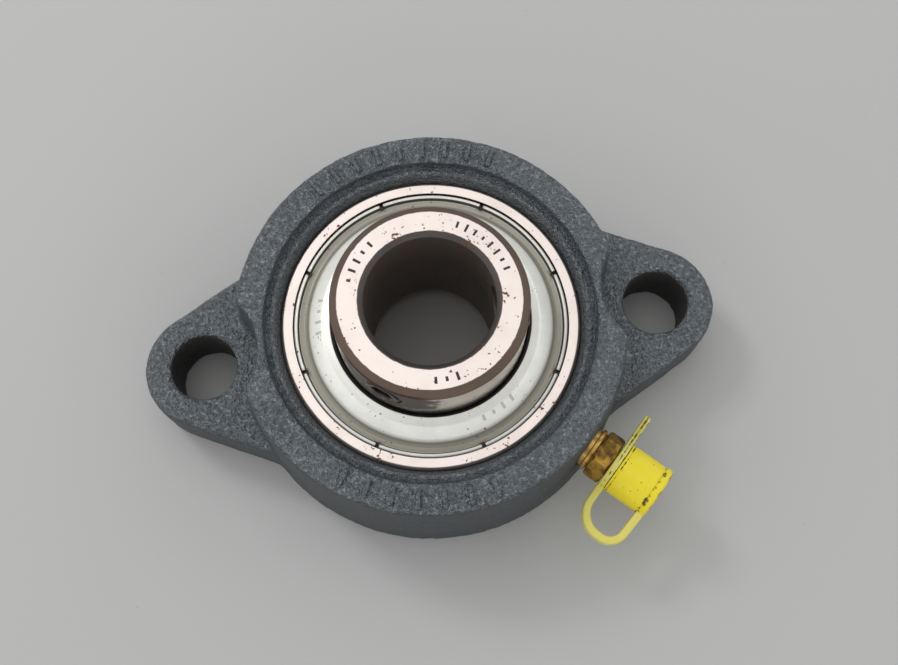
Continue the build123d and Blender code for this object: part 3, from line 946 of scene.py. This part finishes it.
def outer_ring_outline():
    half = OUTER_HIGH - CENTRE_Z
    drop = 0.2
    edge = math.degrees(math.asin((half - drop) / SPHERE_RADIUS))
    race = math.degrees(math.acos((SHOULDER_RADIUS - OUTER_RACE_CENTRE) / RACE_RADIUS))
    sphere = arc((0, CENTRE_Z), SPHERE_RADIUS, -edge, edge, 24)
    groove = arc((OUTER_RACE_CENTRE, CENTRE_Z), RACE_RADIUS, race, -race, 16)
    high_step = OUTER_HIGH - STEP_DEPTH
    low_step = OUTER_LOW + STEP_DEPTH
    return rounded(
        sphere
        + [
            (FACE_OUTER, OUTER_HIGH, 0.12),
            (FACE_INNER, OUTER_HIGH, 0.1),
            (FACE_INNER, high_step, 0.1),
            (SHOULDER_RADIUS, high_step, 0.1),
        ]
        + groove
        + [
            (SHOULDER_RADIUS, low_step, 0.1),
            (FACE_INNER, low_step, 0.1),
            (FACE_INNER, OUTER_LOW, 0.1),
            (FACE_OUTER, OUTER_LOW, 0.12),
        ],
        steps=3,
    )


def inner_ring_outline():
    race = math.degrees(math.acos((INNER_RACE_CENTRE - INNER_RADIUS) / RACE_RADIUS))
    groove = arc((INNER_RACE_CENTRE, CENTRE_Z), RACE_RADIUS, 180 - race, 180 + race, 16)
    return rounded(
        [
            (INNER_RADIUS, OUTER_LOW + BACK_CHAMFER, 0.1),
            (INNER_RADIUS - BACK_CHAMFER, OUTER_LOW, 0.1),
            (BORE_RADIUS + BORE_CHAMFER, OUTER_LOW, 0.1),
            (BORE_RADIUS, OUTER_LOW + BORE_CHAMFER, 0.15),
            (BORE_RADIUS, INNER_TOP - BORE_CHAMFER, 0.15),
            (BORE_RADIUS + BORE_CHAMFER, INNER_TOP, 0.08),
            (INNER_FACE_OUTER, INNER_TOP, 0.08),
            (INNER_RADIUS, INNER_TOP - CHAMFER_HEIGHT, 0.15),
        ]
        + groove,
        steps=4,
    )


def make_outer_ring(segments):
    ring = turned("outer_race_ring", outer_ring_outline(), segments)
    hole = [
        (18.0, 0),
        (18.0, GREASE_HOLE_RADIUS),
        (23.2, GREASE_HOLE_RADIUS),
        (25.0, 2.2),
        (25.0, 0),
    ]
    for azimuth in (NIPPLE_AZIMUTH, NIPPLE_AZIMUTH + 180):
        cut(ring, turned_by("grease_hole", hole, 32, radial_frame(azimuth, GREASE_HOLE_Z)))
    pin_seat = [(21.9, 0), (21.9, 1.03), (25.0, 1.03), (25.0, 0)]
    cut(ring, turned_by("pin_seat", pin_seat, 40, radial_frame(PIN_AZIMUTH, CENTRE_Z)))
    return ring


def make_inner_ring(segments):
    ring = turned("wide_inner_ring", inner_ring_outline(), segments)
    flare = INNER_RADIUS + 0.1
    hole = [
        (6.0, 0),
        (6.0, SCREW_HOLE_RADIUS),
        (flare - 0.35, SCREW_HOLE_RADIUS),
        (flare + 0.4, SCREW_HOLE_RADIUS + 0.45),
        (flare + 2, SCREW_HOLE_RADIUS + 0.45),
        (flare + 2, 0),
    ]
    for azimuth in SCREW_AZIMUTHS:
        cut(ring, turned_by("screw_hole", hole, 72, radial_frame(azimuth, SCREW_Z)))
    return ring


def shield_slits(rim_z):
    """The eight short cutters that split a shield's rim."""
    shape = bmesh.new()
    for number in range(RIM_SLITS):
        azimuth = RIM_SLIT_START + number * 360 / RIM_SLITS
        place = radial_frame(azimuth, rim_z, RIM_RADIUS + 0.2)
        size = (RIM_SLIT_WIDTH * MM, RIM_SLIT_DEPTH * MM, 2 * MM)
        bmesh.ops.create_cube(shape, size=1.0, matrix=place @ Matrix.Diagonal((*size, 1)))
    return piece_from(shape, "slits")


def make_front_shield(segments):
    crown = [
        (15.1, 19.2, 0.12),
        (16.4, 18.75, 1.2),
        (18.1, 17.45, 1.6),
        (18.75, 16.72, 0.7),
        (19.15, 16.5, 0.3),
        (19.95, 16.6, 0.15),
    ]
    rim = [
        (20.12, 17.15, 0.12),
        (20.35, 17.35, 0.12),
        (20.6, 17.2, 0.12),
        (RIM_RADIUS, 16.9, 0.1),
        (RIM_RADIUS, 15.93, 0.05),
        (20.3, 15.93, 0.05),
    ]
    underside = [(r, z - SHEET, rounding) for r, z, rounding in reversed(crown)]
    shield = turned("domed_shield", rounded(crown + rim + underside), segments)
    cut(shield, shield_slits(17.15))
    return shield


def make_rear_shield(segments):
    low = OUTER_LOW
    face = [
        (15.0, low + 0.75, 0.1),
        (18.4, low + 0.75, 0.3),
        (19.0, low + 1.05, 0.3),
        (19.95, low + 0.95, 0.15),
    ]
    rim = [
        (20.12, low + 0.4, 0.12),
        (20.35, low + 0.2, 0.12),
        (20.6, low + 0.35, 0.12),
        (RIM_RADIUS, low + 0.7, 0.1),
        (RIM_RADIUS, low + 1.57, 0.05),
        (20.3, low + 1.57, 0.05),
    ]
    inside = [(r, z + SHEET, rounding) for r, z, rounding in reversed(face)]
    shield = turned("flat_shield", rounded(face + rim + inside), segments)
    cut(shield, shield_slits(low + 0.35))
    return shield


# ---- screws ----------------------------------------------------------------------


def thread_radius(height):
    """Radius of a threaded bar at this height, as a function of angle."""

    def reach(angles):
        phase = (height / SCREW_PITCH - angles / FULL_TURN) % 1
        crest = np.clip(1.9 * (1 - np.abs(2 * phase - 1)) - 0.2, 0, 1)
        ends = min(1, height / TIP_FADE, (SCREW_LENGTH - height) / END_FADE)
        return SCREW_ROOT + (SCREW_RADIUS - SCREW_ROOT) * crest * max(0, ends)

    return reach


def make_set_screw(name, azimuth):
    """A cup-point set screw: helical thread, hexagon socket, cupped tip."""
    heights = np.linspace(0.25, SCREW_LENGTH - 0.2, 72)
    body = [(height, thread_radius(height)) for height in heights]
    socket = hexagon_radius(SOCKET_FLATS)
    lead_in = hexagon_radius(SOCKET_FLATS + 0.3)
    tip = [(0.8, 0), (0.35, 0.95), (0.0, 1.7), (0.0, 2.35), (0.06, 2.5)]
    end = [
        (SCREW_LENGTH - 0.03, SCREW_ROOT - 0.12),
        (SCREW_LENGTH, SCREW_ROOT - 0.25),
        (SCREW_LENGTH, lead_in),
        (SCREW_LENGTH - 0.15, socket),
        (SCREW_LENGTH - SOCKET_DEPTH, socket),
        (SCREW_LENGTH - SOCKET_DEPTH - 0.35, 0.2),
        (SCREW_LENGTH - SOCKET_DEPTH - 0.4, 0),
    ]
    place = radial_frame(azimuth, SCREW_Z, SCREW_TIP)
    return turned_by(name, tip + body + end, 72, place)


# ---- grease nipple and its cap ---------------------------------------------------


def hexagon_row(distance, limit):
    """One row of the nipple's hexagon: the flats, or the chamfer where it lies inside them."""
    flats = hexagon_radius(HEX_FLATS)

    def reach(angles):
        return np.minimum(flats(angles), limit)

    return (distance, reach)


def make_nipple():
    chamfer = HEX_FLATS / 2
    thread = [(NIPPLE_START, 0), (NIPPLE_START, 2.75), (NIPPLE_START + 0.6, THREAD_RADIUS)]
    collar = [
        (COLLAR_START, THREAD_RADIUS),
        (COLLAR_START, COLLAR_RADIUS - 0.15),
        (COLLAR_START + 0.06, COLLAR_RADIUS - 0.04),
        (COLLAR_START + 0.15, COLLAR_RADIUS),
        (COLLAR_END - 0.2, COLLAR_RADIUS),
        (COLLAR_END - 0.05, COLLAR_RADIUS - 0.1),
        (COLLAR_END, COLLAR_RADIUS - 0.3),
        (COLLAR_END + 0.06, THREAD_RADIUS - 0.1),
        (HEX_START - 0.02, THREAD_RADIUS - 0.1),
    ]
    hexagon = [hexagon_row(HEX_START + inset, chamfer + rise) for inset, rise in HEX_CHAMFER]
    hexagon += [
        hexagon_row(HEX_END - inset, chamfer + rise) for inset, rise in reversed(HEX_CHAMFER)
    ]
    head_outline = rounded(
        [
            (HEX_END, NECK_RADIUS, 0),
            (36.3, NECK_RADIUS, 0.25),
            (37.3, HEAD_RADIUS, 0.3),
            (38.6, HEAD_RADIUS, 0.5),
            (HEAD_END - 0.4, 1.9, 0.2),
            (HEAD_END, 1.5, 0.15),
            (HEAD_END, 0.8, 0.05),
            (HEAD_END - 1.0, 0.8, 0),
            (HEAD_END - 1.0, 0, 0),
        ],
        closed=False,
    )
    head = [(distance, radius) for distance, radius in head_outline]
    place = radial_frame(NIPPLE_AZIMUTH, CENTRE_Z)
    return turned_by("grease_nipple", thread + collar + hexagon + head, 96, place)


def make_spring():
    """The valve's coil spring, a copy of the CAD spring's mesh."""
    mesh = frame["nodes"]["nipple_spring"].data.copy()
    mesh.materials.clear()
    return new_piece("valve_spring", mesh)


def flat_plate(name, outlines, thickness, bevel, place):
    """A plate cut to flat outlines, holes among them, with rounded edges."""
    curve = bpy.data.curves.new(name, "CURVE")
    curve.dimensions = "2D"
    curve.fill_mode = "BOTH"
    curve.extrude = (thickness / 2 - bevel) * MM
    curve.bevel_depth = bevel * MM
    curve.bevel_resolution = 3
    curve.offset = -bevel * MM
    for outline in outlines:
        spline = curve.splines.new("POLY")
        spline.points.add(len(outline) - 1)
        for point, (x, y) in zip(spline.points, outline):
            point.co = (x * MM, y * MM, 0, 1)
        spline.use_cyclic_u = True
    drawn = new_piece(name + "_outline", curve)
    bpy.context.view_layer.update()
    evaluated = drawn.evaluated_get(bpy.context.evaluated_depsgraph_get())
    mesh = bpy.data.meshes.new_from_object(evaluated)
    bpy.data.objects.remove(drawn)
    tidy_mesh(mesh)
    mesh.transform(place)
    return new_piece(name, mesh)


def make_keeper_ring():
    """The ring that clips round the nipple's neck, with its pull tab."""
    half = TAB_WIDTH / 2
    root = math.degrees(math.asin(half / KEEPER_RADIUS))
    eye = arc((0, 0), KEEPER_RADIUS, root + 14, 360 - root - 14, 60)
    root_x = KEEPER_RADIUS * math.cos(math.radians(root + 4))
    outline = rounded(
        eye
        + [
            (root_x, -half, 0.5),
            (TAB_REACH, -half, 1.3),
            (TAB_REACH, half, 1.3),
            (root_x, half, 0.5),
        ]
    )
    hole = rounded(arc((0, 0), KEEPER_HOLE, 0, 352.5, 47))
    middle = (KEEPER_START + KEEPER_END) / 2
    place = radial_frame(NIPPLE_AZIMUTH, CENTRE_Z, middle)
    keeper = flat_plate("cap_keeper", [outline, hole], KEEPER_END - KEEPER_START, 0.2, place)
    for side in (1, -1):
        groove = bmesh.new()
        level = Matrix.Translation(((TAB_REACH - 2.6) * MM, side * half * MM, 0))
        rounded_block(groove, (3.4 * MM, 0.7 * MM, 0.42 * MM), level, 0.1 * MM)
        cut(keeper, piece_from(groove, "groove", place))
    return keeper


def make_cap():
    outline = rounded(
        [
            (0, CAP_END, 0),
            (CAP_RIM_RADIUS, CAP_END, 0.35),
            (CAP_RIM_RADIUS, CAP_END - CAP_RIM_HEIGHT, 0.15),
            (CAP_RADIUS - 0.12, CAP_END - CAP_RIM_HEIGHT - 0.06, 0.05),
            (CAP_RADIUS, CAP_END - CAP_RIM_HEIGHT - 0.25, 0.08),
            (CAP_RADIUS, CAP_MOUTH + 0.5, 0.05),
            (CAP_RADIUS - 0.13, CAP_MOUTH + 0.42, 0.03),
            (CAP_RADIUS, CAP_MOUTH + 0.34, 0.05),
            (CAP_RADIUS, CAP_MOUTH, 0.12),
            (CAP_HOLLOW_RADIUS - 0.45, CAP_MOUTH, 0.15),
            (CAP_HOLLOW_RADIUS - 0.45, CAP_MOUTH + 0.7, 0.2),
            (CAP_HOLLOW_RADIUS, CAP_MOUTH + 1.3, 0.2),
            (CAP_HOLLOW_RADIUS, CAP_HOLLOW_END, 0.4),
            (0, CAP_HOLLOW_END, 0),
        ],
        closed=False,
    )
    place = radial_frame(NIPPLE_AZIMUTH, CENTRE_Z)
    return turned("cap", outline, 160, place, closed=False)


def make_strap():
    """The flat strap from the keeper ring round to the cap's rim."""
    route = rounded(STRAP_ROUTE, closed=False, steps=16, share=0.6)
    fine = [route[0]]
    for start, end in zip(route[:-1], route[1:]):
        pieces = max(1, int(np.hypot(*(end - start)) / 0.35))
        fine += [start + (end - start) * (k + 1) / pieces for k in range(pieces)]
    route = np.array(fine)
    along = np.gradient(route, axis=0)
    along /= np.linalg.norm(along, axis=1)[:, None]
    across = np.stack([-along[:, 1], along[:, 0]], axis=1)
    half_t = STRAP_THICKNESS / 2
    half_w = STRAP_WIDTH / 2
    corners = ((-half_t, -half_w), (half_t, -half_w), (half_t, half_w), (-half_t, half_w))
    section = rounded([(x, y, STRAP_ROUNDING) for x, y in corners])
    grid = np.empty((len(route), len(section), 3))
    for row, (point, side) in enumerate(zip(route, across)):
        grid[row, :, 0] = point[1] + side[1] * section[:, 0]
        grid[row, :, 1] = section[:, 1]
        grid[row, :, 2] = point[0] + side[0] * section[:, 0]
    place = radial_frame(NIPPLE_AZIMUTH, CENTRE_Z)
    return grid_piece("cap_loop", grid, place, closed_outline=False)


# ---- operators -------------------------------------------------------------------


class BEARING_OT_housing(bpy.types.Operator):
    """Builds the rough painted casting with its raised bars"""

    bl_idname = "bearing.housing"
    bl_label = "Cast Housing"

    def execute(self, context):
        settings = context.scene.bearing_housing
        paint = housing_paint(settings)
        stand_for(make_casting(settings), "housing", paint)
        marks = make_cast_marks(settings)
        smooth_faces(marks, 60)
        marks.data.materials.append(paint)
        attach(marks, frame["nodes"]["housing"]["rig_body"])
        return {"FINISHED"}


class BEARING_OT_rings(bpy.types.Operator):
    """Builds the outer ring and the wide inner ring"""

    bl_idname = "bearing.rings"
    bl_label = "Bearing Rings"

    def execute(self, context):
        settings = context.scene.bearing_insert
        outer = make_outer_ring(settings.segments)
        inner = make_inner_ring(settings.segments)
        smooth_faces(outer)
        smooth_faces(inner)
        outer_finish = ground_steel(settings, "ground_steel_outer", outer_ring_wear_and_shade)
        inner_finish = ground_steel(settings, "ground_steel_inner", inner_ring_wear)
        stand_for(outer, "outer_ring", outer_finish)
        stand_for(inner, "inner_ring", inner_finish)
        return {"FINISHED"}


class BEARING_OT_rolling_set(bpy.types.Operator):
    """Finishes the balls, the cage, its rivets and the anti-rotation pin"""

    bl_idname = "bearing.rolling_set"
    bl_label = "Balls and Cage"

    def execute(self, context):
        ball_finish = hard_steel("ball_steel", (0.80, 0.80, 0.81), 0.08)
        cage_finish = hard_steel("cage_steel", (0.62, 0.60, 0.56), 0.3)
        for node in frame["nodes"]:
            if node.startswith("ball_"):
                dress(node, ball_finish)
            elif node.startswith("cage_") or node == "anti_rotation_pin":
                dress(node, cage_finish)
        return {"FINISHED"}


class BEARING_OT_shields(bpy.types.Operator):
    """Builds both zinc-plated shields and finishes their rubber lips"""

    bl_idname = "bearing.shields"
    bl_label = "Shields and Seals"

    def execute(self, context):
        settings = context.scene.bearing_insert
        zinc = zinc_plate(settings)
        front = make_front_shield(settings.segments)
        rear = make_rear_shield(settings.segments)
        smooth_faces(front, 50)
        smooth_faces(rear, 50)
        stand_for(front, "front_shield", zinc)
        stand_for(rear, "rear_shield", zinc)
        rubber = seal_rubber(settings)
        dress("front_seal_lip", rubber)
        dress("rear_seal_lip", rubber)
        return {"FINISHED"}


class BEARING_OT_set_screws(bpy.types.Operator):
    """Builds the two cup-point set screws"""

    bl_idname = "bearing.set_screws"
    bl_label = "Set Screws"

    def execute(self, context):
        oxide = black_screw(context.scene.bearing_insert)
        for number, azimuth in enumerate(SCREW_AZIMUTHS, start=1):
            screw = make_set_screw(f"cup_screw_{number}", azimuth)
            smooth_faces(screw, 35)
            stand_for(screw, f"set_screw_{number}", oxide)
        return {"FINISHED"}


class BEARING_OT_nipple(bpy.types.Operator):
    """Builds the grease nipple and finishes its valve"""

    bl_idname = "bearing.nipple"
    bl_label = "Grease Nipple"

    def execute(self, context):
        nipple = make_nipple()
        smooth_faces(nipple, 22)
        stand_for(nipple, "nipple_body", aged_brass(context.scene.bearing_nipple))
        dress("nipple_ball", bpy.data.materials["ball_steel"])
        spring = make_spring()
        smooth_faces(spring, 60)
        spring.data.materials.append(hard_steel("spring_steel", (0.5, 0.5, 0.5), 0.25))
        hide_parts("nipple_spring")
        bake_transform(spring)
        return {"FINISHED"}


class BEARING_OT_cap(bpy.types.Operator):
    """Builds the plastic cap with its strap and keeper ring"""

    bl_idname = "bearing.cap"
    bl_label = "Nipple Cap"

    def execute(self, context):
        settings = context.scene.bearing_nipple
        rim_line = CAP_END - CAP_RIM_HEIGHT
        middle = (KEEPER_START + KEEPER_END) / 2
        cap_dirt = ((CAP_MOUTH + 0.4, 0.3), (rim_line, 0.8), (CAP_END, 0.4))
        plastic = cap_plastic(settings, "cap_plastic", settings.plastic, cap_dirt)
        keeper_dirt = ((middle, 0.3), (KEEPER_END, 0.2))
        pale = cap_plastic(settings, "keeper_plastic", settings.strap, keeper_dirt)
        thin = cap_plastic(settings, "strap_plastic", settings.strap, ())
        keeper = make_keeper_ring()
        smooth_faces(keeper, 50)
        stand_for(keeper, "cap_ring", pale)
        cap = make_cap()
        smooth_faces(cap, 50)
        stand_for(cap, "cap_shell", plastic)
        strap = make_strap()
        smooth_faces(strap, 50)
        strap.data.materials.append(thin)
        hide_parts("cap_strap")
        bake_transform(strap)
        return {"FINISHED"}


class BEARING_OT_stage(bpy.types.Operator):
    """Lays the floor and sets the lights and the camera"""

    bl_idname = "bearing.stage"
    bl_label = "Stage"

    def execute(self, context):
        settings = context.scene.bearing_stage
        lay_floor(settings)
        set_world(settings)
        for name, position, size, brightness in SOFTBOXES:
            add_softbox(name, position, size, brightness)
        set_camera(settings)
        return {"FINISHED"}


def lay_floor(settings):
    half = 1.2
    mesh = bpy.data.meshes.new("floor")
    corners = [(-half, -half, 0), (half, -half, 0), (half, half, 0), (-half, half, 0)]
    mesh.from_pydata(corners, [], [(0, 1, 2, 3)])
    floor = new_piece("floor", mesh)
    floor.location.z = -FLOOR_GAP * MM
    floor.data.materials.append(floor_paper(settings))


def set_world(settings):
    world = bpy.data.worlds.new("studio")
    world.use_nodes = True
    background = world.node_tree.nodes["Background"]
    background.inputs["Color"].default_value = (0.97, 0.985, 1.0, 1)
    background.inputs["Strength"].default_value = settings.ambient
    bpy.context.scene.world = world
    bpy.context.scene.view_settings.view_transform = "Standard"


def add_softbox(name, position, size, brightness):
    """A flat lamp facing the object. Its power follows from its size and brightness."""
    width, height = size
    lamp = bpy.data.lights.new(name, "AREA")
    lamp.shape = "RECTANGLE"
    lamp.size = width
    lamp.size_y = height
    lamp.energy = brightness * math.pi * width * height
    softbox = bpy.data.objects.new(name, lamp)
    softbox.location = position
    softbox.rotation_euler = (-Vector(position)).to_track_quat("-Z", "Y").to_euler()
    bpy.context.scene.collection.objects.link(softbox)


def set_camera(settings):
    lens = bpy.data.cameras.new("camera")
    lens.lens = settings.focal_length
    lens.sensor_width = 36
    lens.clip_start = 0.01
    camera = bpy.data.objects.new("camera", lens)
    position = Vector(settings.camera_position)
    camera.location = position
    aim = Vector(settings.camera_target) - position
    camera.rotation_euler = aim.to_track_quat("-Z", "Y").to_euler()
    bpy.context.scene.collection.objects.link(camera)
    bpy.context.scene.camera = camera


class BEARING_PT_panel(bpy.types.Panel):
    """Lists the bearing's settings and the operators that build it"""

    bl_idname = "BEARING_PT_panel"
    bl_label = "Flange Bearing"
    bl_space_type = "VIEW_3D"
    bl_region_type = "UI"
    bl_category = "Bearing"

    def draw(self, context):
        scene = context.scene
        for group in SETTINGS:
            box = self.layout.box()
            settings = getattr(scene, group)
            for name in settings.__annotations__:
                box.prop(settings, name)
        for operator in BUILD_ORDER:
            self.layout.operator(operator.bl_idname)


SETTINGS = {
    "bearing_housing": HousingSettings,
    "bearing_insert": InsertSettings,
    "bearing_nipple": NippleSettings,
    "bearing_stage": StageSettings,
}

BUILD_ORDER = (
    BEARING_OT_stage,
    BEARING_OT_housing,
    BEARING_OT_rings,
    BEARING_OT_rolling_set,
    BEARING_OT_shields,
    BEARING_OT_set_screws,
    BEARING_OT_nipple,
    BEARING_OT_cap,
)


def register():
    for settings in SETTINGS.values():
        bpy.utils.register_class(settings)
    for name, settings in SETTINGS.items():
        setattr(bpy.types.Scene, name, PointerProperty(type=settings))
    for operator in BUILD_ORDER:
        bpy.utils.register_class(operator)
    bpy.utils.register_class(BEARING_PT_panel)


def unregister():
    bpy.utils.unregister_class(BEARING_PT_panel)
    for operator in reversed(BUILD_ORDER):
        bpy.utils.unregister_class(operator)
    for name, settings in SETTINGS.items():
        delattr(bpy.types.Scene, name)
        bpy.utils.unregister_class(settings)


def main():
    register()
    for operator in BUILD_ORDER:
        group, name = operator.bl_idname.split(".")
        getattr(getattr(bpy.ops, group), name)()
    bpy.context.view_layer.update()


if __name__ == "__main__":
    main()
